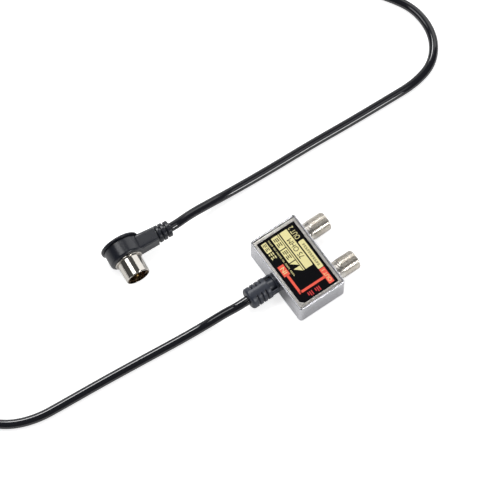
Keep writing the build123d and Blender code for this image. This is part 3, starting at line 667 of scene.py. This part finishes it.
inner_finish(
    ["circuit_board"],
    smooth_plastic("board_green", shade(70, 96, 52), shade(58, 82, 44), 0.35),
)
inner_finish(
    ["matching_core", "splitting_core", "choke_core"],
    smooth_plastic("ferrite", shade(62, 61, 62), shade(48, 47, 49), 0.6, 4000.0, 0.6),
)
inner_finish(
    ["matching_winding", "splitting_winding", "choke_winding"],
    spun_metal("enamelled_copper", shade(192, 110, 62), shade(160, 84, 44), 0.25),
)
inner_finish(
    ["isolation_resistor"],
    smooth_plastic("resistor_lacquer", shade(186, 160, 118), shade(172, 146, 104), 0.2),
)
inner_finish(
    ["capacitors"],
    smooth_plastic("capacitor_dip", shade(196, 118, 44), shade(178, 100, 34), 0.25),
)
inner_finish(
    ["braid_ferrule"],
    spun_metal("ferrule_tin", shade(190, 190, 188), shade(160, 160, 158), 0.3),
)

# Gland. A flexible moulding on the lead, dark blue-grey with a fine grain. A thin neck with two
# straps lets it nod, and three broken grooves let it bend, with a spine along its top and base.
cord_diameter = 4.3 * MM
cord_radius = cord_diameter / 2
gland_radius = 5.1 * MM
gland_length = 14.8 * MM
gland_neck = 4.3 * MM
gland_neck_radius = 2.9 * MM
gland_spine = 4.1 * MM
gland_edge = 0.14 * MM
gland_steps = 120
groove_width = 0.95 * MM
groove_depth = 1.15 * MM
groove_draft = groove_depth * 0.12
grooves_from_end = (3.45 * MM, 5.8 * MM, 8.1 * MM)
strap_width = 0.95 * MM
strap_height = 3.9 * MM
strap_place = 3.92 * MM
strap_start = 0.4 * MM
strap_end = gland_neck + 0.5 * MM
strap_edge = 0.15 * MM

# The catch behind the wall, the waist in it and the flange before it, as along and radius in mm
gland_root = ((-3.1, 3.8), (-2.6, 4.2), (-1.8, 4.2), (-1.8, 3.5), (0, 3.5), (0, 4.5), (0.85, 4.5))
gland_flange = gland_root[-1][0] * MM
# The tip's rounding, as back from the end and in from the side in mm
gland_tip = ((1.2, 0), (0.74, 0.09), (0.35, 0.35), (0.09, 0.74), (0, 1.2))


def build_gland():
    bm = bmesh.new()
    profile = [(gland_root[0][0] * MM, cord_radius)]
    profile += [(along * MM, radius * MM) for along, radius in gland_root]
    profile += [
        (gland_flange, gland_neck_radius),
        (gland_neck, gland_neck_radius),
        (gland_neck, gland_radius),
    ]
    walls = []
    for from_end in reversed(grooves_from_end):
        middle = gland_length - from_end
        near, far = middle - groove_width / 2, middle + groove_width / 2
        walls.append((near, far))
        profile += [
            (near, gland_radius),
            (near + groove_draft, gland_radius - groove_depth),
            (far - groove_draft, gland_radius - groove_depth),
            (far, gland_radius),
        ]
    profile += [(gland_length - back * MM, gland_radius - inset * MM) for back, inset in gland_tip]
    profile.append((gland_length, cord_radius))
    centre = Vector((0, -side_y, port_height))
    turn(bm, profile, centre, (0, -1, 0), gland_steps)
    for vert in bm.verts:
        along = -side_y - vert.co.y
        out = Vector((vert.co.x, 0, vert.co.z - port_height))
        in_groove = any(near + 10 * weld < along < far - 10 * weld for near, far in walls)
        if not in_groove or out.length <= cord_radius + MM:
            continue
        if abs(out.x) * gland_radius / out.length < gland_spine / 2:
            vert.co = Vector((0, vert.co.y, port_height)) + out.normalized() * gland_radius
    bmesh.ops.recalc_face_normals(bm, faces=bm.faces)
    soften(bm, gland_edge, 2, 38)
    for side in (-1, 1):
        strap = bmesh.ops.create_cube(bm, size=1.0)["verts"]
        size = Vector((strap_width, strap_end - strap_start, strap_height))
        bmesh.ops.scale(bm, verts=strap, vec=size)
        place = centre + Vector((side * strap_place, -(strap_start + strap_end) / 2, 0))
        bmesh.ops.translate(bm, verts=strap, vec=place)
        soften(bm, strap_edge, 2, 60, [edge for edge in bm.edges if edge.verts[0] in strap])
    material = smooth_plastic(
        "gland_moulding", shade(47, 52, 65), shade(39, 44, 56), 0.33, 1900.0, 0.5, 0.7
    )
    make_piece(bm, "gland_moulded", material, ["gland"])


build_gland()

# Lead. One length of thin coaxial cable in a glossy black jacket. It lies loose on the floor
# from the gland, is coiled and tied where it is put away, and comes back to the plug's arm.
tie_thickness = 0.6 * MM
coil_meets_lead = Vector((-122.9, 78.4, 0)) * MM
coil_lead_angle = math.radians(235.0)
coil_outer_turn = 27.0 * MM
coil_pitch = 4.6 * MM
coil_steps = 2
layer_change = 0.3
points_per_turn = 16
gland_side_points = (
    (0.0, -27.15, 7.15),
    (0.0, -33.15, 7.15),
    (-1.2, -38.8, 5.47),
    (-2.2, -48.1, 3.15),
    (-3.2, -61.1, 2.2),
    (-4.8, -79.7, 2.2),
    (-6.6, -102.0, 2.2),
    (-7.8, -121.4, 2.2),
    (-8.9, -136.3, 2.2),
    (-14.3, -149.4, 2.2),
    (-24.8, -158.5, 2.2),
    (-38.5, -160.5, 2.2),
    (-53.2, -155.8, 2.2),
    (-76.9, -141.1, 2.2),
    (-115.8, -116.2, 2.2),
    (-152.9, -91.7, 2.2),
    (-175.6, -76.4, 2.2),
    (-189.5, -65.8, 2.2),
    (-198.8, -52.8, 2.2),
    (-202.1, -38.0, 2.2),
    (-197.0, -23.1, 2.2),
    (-187.2, -8.3, 2.2),
    (-170.1, 15.4, 2.2),
    (-148.9, 43.2, 2.6),
    (-135.8, 60.8, 4.64),
    (-128.3, 71.3, 6.49),
)
plug_side_points = (
    (-48.33, -36.90, 9.3),
    (-48.06, -33.91, 9.3),
    (-49.1, -24.6, 7.55),
    (-49.5, -12.9, 4.08),
    (-49.1, 1.9, 2.2),
    (-48.2, 20.5, 2.2),
    (-47.6, 41.8, 2.2),
    (-46.4, 63.1, 2.2),
    (-45.7, 83.6, 2.2),
    (-45.2, 99.4, 2.2),
    (-49.1, 112.3, 2.2),
    (-60.2, 120.6, 2.2),
    (-74.9, 121.6, 2.2),
    (-87.5, 115.5, 2.2),
    (-102.8, 103.9, 2.2),
    (-114.4, 89.9, 2.3),
)


def coil_points():
    """The coil's turns: inwards on the top layer, down, and outwards on the bottom one."""
    inward = Vector((math.sin(coil_lead_angle), -math.cos(coil_lead_angle), 0))
    centre = coil_meets_lead + inward * coil_outer_turn
    first_angle = math.atan2(-inward.y, -inward.x)
    low = tie_thickness + cord_radius
    turns = 2 * coil_steps
    points = []
    for step in range(turns * points_per_turn + 1):
        done = step / points_per_turn
        radius = coil_outer_turn - coil_pitch * min(done, turns - done)
        drop = min(max((done - coil_steps + layer_change / 2) / layer_change, 0.0), 1.0)
        height = low + cord_diameter * (1 - drop * drop * (3 - 2 * drop))
        angle = first_angle + 2 * math.pi * done
        x = centre.x + radius * math.cos(angle)
        y = centre.y + radius * math.sin(angle)
        points.append(Vector((x, y, height)))
    return points


def jacket():
    finish = Finish("jacket_black", specular_ior_level=0.7)
    cloud = finish.noise(45.0, 2.0)
    fine = finish.noise(1400.0)
    wave = finish.noise(110.0, 2.0)
    tint = finish.mix(cloud, shade(19, 20, 26), shade(25, 26, 31))
    texture = finish.bump(wave + 0.05 * fine, 0.00006, 0.3)
    return finish.wire(base_color=tint, roughness=0.06 + 0.03 * fine, normal=texture)


def build_lead():
    curve = bpy.data.curves.new("lead", "CURVE")
    curve.dimensions = "3D"
    curve.bevel_depth = cord_radius
    curve.bevel_resolution = 7
    curve.resolution_u = 10
    curve.use_fill_caps = True
    spline = curve.splines.new("NURBS")
    route = [Vector(point) * MM for point in gland_side_points]
    route += coil_points()
    route += [Vector(point) * MM for point in reversed(plug_side_points)]
    spline.points.add(len(route) - 1)
    for point, place in zip(spline.points, route):
        point.co = (*place, 1)
    spline.order_u = 3
    spline.use_endpoint_u = True
    curve.materials.append(jacket())
    lead = bpy.data.objects.new("lead", curve)
    scene.collection.objects.link(lead)
    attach(lead, "root")
    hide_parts("cord_gland_side", "cord_coil", "cord_plug_side")
    return lead


lead = build_lead()
for node in ("lead_end", "plug_lead_end"):
    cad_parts[node].data.materials[0] = lead.data.materials[0]

# Tie. A black nylon strap, pulled round the coil's bundle and locked by the buckle on top. It
# keeps the frame's solid.
tie_nylon = smooth_plastic("tie_nylon", shade(34, 34, 37), shade(28, 28, 31), 0.4)
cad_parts["cord_tie"].data.materials[0] = tie_nylon

# Plug. A dark moulding on the lead: a drum, closed by a lid at its back, and an arm with three
# bend ribs. It lies on the lid's edge, so its sleeve points along the floor.
plug_turn = math.radians(-5.2)
last_rib_end = Vector(plug_side_points[0]) * MM
arm_run = Vector((-math.sin(plug_turn), math.cos(plug_turn), 0))
ribs = ((-6.40 * MM, -5.25 * MM), (-4.15 * MM, -3.00 * MM), (-1.70 * MM, 0.10 * MM))
rib_round = 0.45 * MM
rib_growth = 0.32 * MM
rib_slack = 0.02 * MM
ribs_from = -46.0 * MM
hollow_round = 0.9 * MM
plug_edge = 0.3 * MM
plug_crease = 30.0
plug_grey = smooth_plastic(
    "plug_moulding", shade(24, 28, 38), shade(20, 23, 32), 0.24, 1500.0, 0.3, 0.7
)


def copy_of(node):
    """A node's own shape, welded so that its curves shade smoothly."""
    bm = bmesh.new()
    bm.from_mesh(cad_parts[node].data)
    bmesh.ops.remove_doubles(bm, verts=bm.verts, dist=weld)
    return bm


def dress_node(node, material):
    return make_piece(copy_of(node), f"{node}_dressed", material, [node], plug_crease)


def build_plug_body():
    """The plug's own shape, with its ribs a little wider and its inner corners rounded."""
    bm = copy_of("plug_body")
    flat = math.radians(0.5)
    bmesh.ops.dissolve_limit(bm, angle_limit=flat, verts=bm.verts[:], edges=bm.edges[:])
    for vert in bm.verts:
        along = (vert.co - last_rib_end).dot(arm_run)
        for start, end in ribs:
            if start - rib_slack < along < start + rib_round:
                vert.co -= arm_run * rib_growth
            elif end - rib_round < along < end + rib_slack and end < 0:
                vert.co += arm_run * rib_growth
    hollow = []
    for edge in bm.edges:
        beside_ribs = max(vert.co.y for vert in edge.verts) > ribs_from
        if edge.is_manifold and edge.calc_face_angle_signed(0) < 0 and not beside_ribs:
            hollow.append(edge)
    soften(bm, hollow_round, 4, 15, hollow)
    soften(bm, plug_edge, 3, 50)
    return make_piece(
        bm, "plug_body_dressed", plug_grey, ["plug_body"], plug_crease
    )


plug_body = build_plug_body()
plug_lid = dress_node("plug_lid", plug_grey)

# Plug's connector. A polished nickel sleeve and collar ring, bronze leaves that grip the outlet's
# thread, and a centre pin held by a white insulator.
plug_middle = Vector((-46.1, -60.9, 9.3)) * MM
plug_axis = Vector((math.cos(plug_turn), math.sin(plug_turn), 0))
sleeve_radius = 5.8 * MM
sleeve_inner = 5.3 * MM
sleeve_root = -1.2 * MM
sleeve_mouth = 9.5 * MM
sleeve_chamfer = 0.3 * MM
sleeve_edge = 0.1 * MM
collar_radius = 6.8 * MM
collar_width = 0.65 * MM
collar_edge = 0.25 * MM
connector_steps = 128
polished_nickel = spun_metal("nickel_polished", shade(216, 212, 205), shade(208, 203, 196), 0.07)
spring_bronze = spun_metal("spring_bronze", shade(158, 132, 102), shade(122, 101, 78), 0.28)


def build_ring(name, node, profile, edge, segments):
    """A ring of polished nickel on the plug's axis, from a profile of (along, radius) points."""
    bm = bmesh.new()
    turn(bm, profile, plug_middle, plug_axis, connector_steps)
    bmesh.ops.recalc_face_normals(bm, faces=bm.faces)
    soften(bm, edge, segments, 30)
    return make_piece(bm, name, polished_nickel, [node])


sleeve_profile = (
    (sleeve_root, sleeve_inner),
    (sleeve_root, sleeve_radius),
    (sleeve_mouth - sleeve_chamfer, sleeve_radius),
    (sleeve_mouth, sleeve_radius - sleeve_chamfer),
    (sleeve_mouth, sleeve_inner),
)
collar_profile = (
    (0, sleeve_radius),
    (0, collar_radius),
    (collar_width, collar_radius),
    (collar_width, sleeve_radius),
)
plug_sleeve = build_ring("plug_sleeve_polished", "plug_sleeve", sleeve_profile, sleeve_edge, 3)
plug_collar = build_ring("plug_collar_polished", "plug_collar", collar_profile, collar_edge, 4)
plug_spring = dress_node("plug_spring_contact", spring_bronze)
plug_insulator = dress_node("plug_insulator", white_plastic)
plug_pin = dress_node("plug_pin", contact_brass)

# Floor. A white matt table top, much larger than the splitter. It keeps the splitter's soft
# shadow, shows as plain white to the camera, and shows pale in the nickel.
floor_size = 6.0


def stage_floor():
    finish = Finish(
        "floor_white",
        base_color=(0.8, 0.8, 0.8, 1),
        emission_color=(1, 1, 1, 1),
        roughness=0.9,
        specular_ior_level=0.0,
    )
    seen = finish.node("ShaderNodeLightPath", output="Is Camera Ray")
    mirrored = finish.node("ShaderNodeLightPath", output="Is Glossy Ray")
    through = finish.node("ShaderNodeLightPath", output="Is Transmission Ray")
    bm = bmesh.new()
    bmesh.ops.create_grid(bm, x_segments=1, y_segments=1, size=floor_size)
    mesh = bpy.data.meshes.new("floor")
    bm.to_mesh(mesh)
    bm.free()
    glow = seen * 0.66 + mirrored * 0.04 + through * 0.42
    mesh.materials.append(finish.wire(emission_strength=glow))
    floor = bpy.data.objects.new("floor", mesh)
    scene.collection.objects.link(floor)


stage_floor()

# Studio. White beyond the floor, and dim overhead for the nickel's dark bands. Small strong boxes
# draw the lead's and the outlets' highlights, wide soft ones light the plug, the rim and the
# sleeve, and a key light overhead casts the shadow.
overhead = 0.38
overhead_in_metal = 0.08

# Each box: its name, place, aim, width, height and radiance
soft_boxes = (
    ("box_lower", (-0.507, 0.064, 0.598), (-0.006, -0.10, 0), 0.24, 0.17, 12.0),
    ("box_upper", (0.662, 0.200, 0.383), (-0.030, 0.03, 0), 0.22, 0.16, 13.0),
    ("box_front", (-0.285, -0.330, 0.700), (-0.045, -0.063, 0), 0.32, 0.36, 3.2),
    ("box_back", (-0.275, 0.590, 0.375), (-0.045, -0.063, 0), 0.50, 0.70, 1.2),
    ("box_over", (0.150, 0.240, 0.930), (0, 0.02, 0), 0.40, 0.28, 0.95),
    ("board_low", (-0.762, 0.190, 0.300), (0, 0.02, 0), 0.64, 0.50, 0.6),
)
key_light = ("key", (-0.36, -0.05, 1.10), (0, 0, 0), 0.26, 0.26, 7.3)


def studio_world():
    world = bpy.data.worlds.new("studio")
    scene.world = world
    world.use_nodes = True
    wiring = Wiring(world.node_tree)
    seen = wiring.node("ShaderNodeLightPath", output="Is Camera Ray")
    mirrored = wiring.node("ShaderNodeLightPath", output="Is Glossy Ray")
    dim = overhead - (overhead - overhead_in_metal) * mirrored
    level = wiring.node("ShaderNodeMath", {"operation": "MAXIMUM"}, {0: seen, 1: dim})
    background = world.node_tree.nodes["Background"]
    world.node_tree.links.new(level.socket, background.inputs["Strength"])
    background.inputs["Color"].default_value = (1, 1, 1, 1)


def soft_box(name, place, aim, width, height, radiance):
    lamp = bpy.data.lights.new(name, "AREA")
    lamp.shape = "RECTANGLE"
    lamp.size = width
    lamp.size_y = height
    lamp.energy = radiance * math.pi * width * height
    box = bpy.data.objects.new(name, lamp)
    scene.collection.objects.link(box)
    away = (Vector(place) - Vector(aim)).normalized()
    along = Vector((0, 1, 0)) - away * away.y
    along.normalize()
    turned = Matrix((along.cross(away), along, away)).transposed().to_4x4()
    box.matrix_world = Matrix.Translation(place) @ turned
    return box


studio_world()
for box in soft_boxes:
    soft_box(*box)
soft_box(*key_light).visible_glossy = False

# Camera. It looks down on the label at the picture's angle, from well back. Its lens follows
# from the picture's scale, and its place from where the case's base falls in the picture.
view_azimuth = math.radians(55.1)
view_elevation = math.radians(68.6)
camera_distance = 1.5
pixels_per_metre = 2200.0
frame_pixels = 500
sensor_width = 36.0
origin_pixel = (297.0, 273.4)


def set_camera():
    camera = bpy.data.cameras.new("camera")
    camera.sensor_width = sensor_width
    camera.lens = sensor_width * pixels_per_metre * camera_distance / frame_pixels
    camera.clip_start = 0.01
    right = Vector((math.cos(view_azimuth), math.sin(view_azimuth), 0))
    back = Vector((
        math.sin(view_azimuth) * math.cos(view_elevation),
        -math.cos(view_azimuth) * math.cos(view_elevation),
        math.sin(view_elevation),
    ))
    up = back.cross(right)
    across = (origin_pixel[0] - frame_pixels / 2) / pixels_per_metre
    down = (origin_pixel[1] - frame_pixels / 2) / pixels_per_metre
    holder = bpy.data.objects.new("camera", camera)
    scene.collection.objects.link(holder)
    place = back * camera_distance - right * across + up * down
    turned = Matrix((right, up, back)).transposed().to_4x4()
    holder.matrix_world = Matrix.Translation(place) @ turned
    scene.camera = holder


set_camera()
scene.view_settings.view_transform = "Standard"
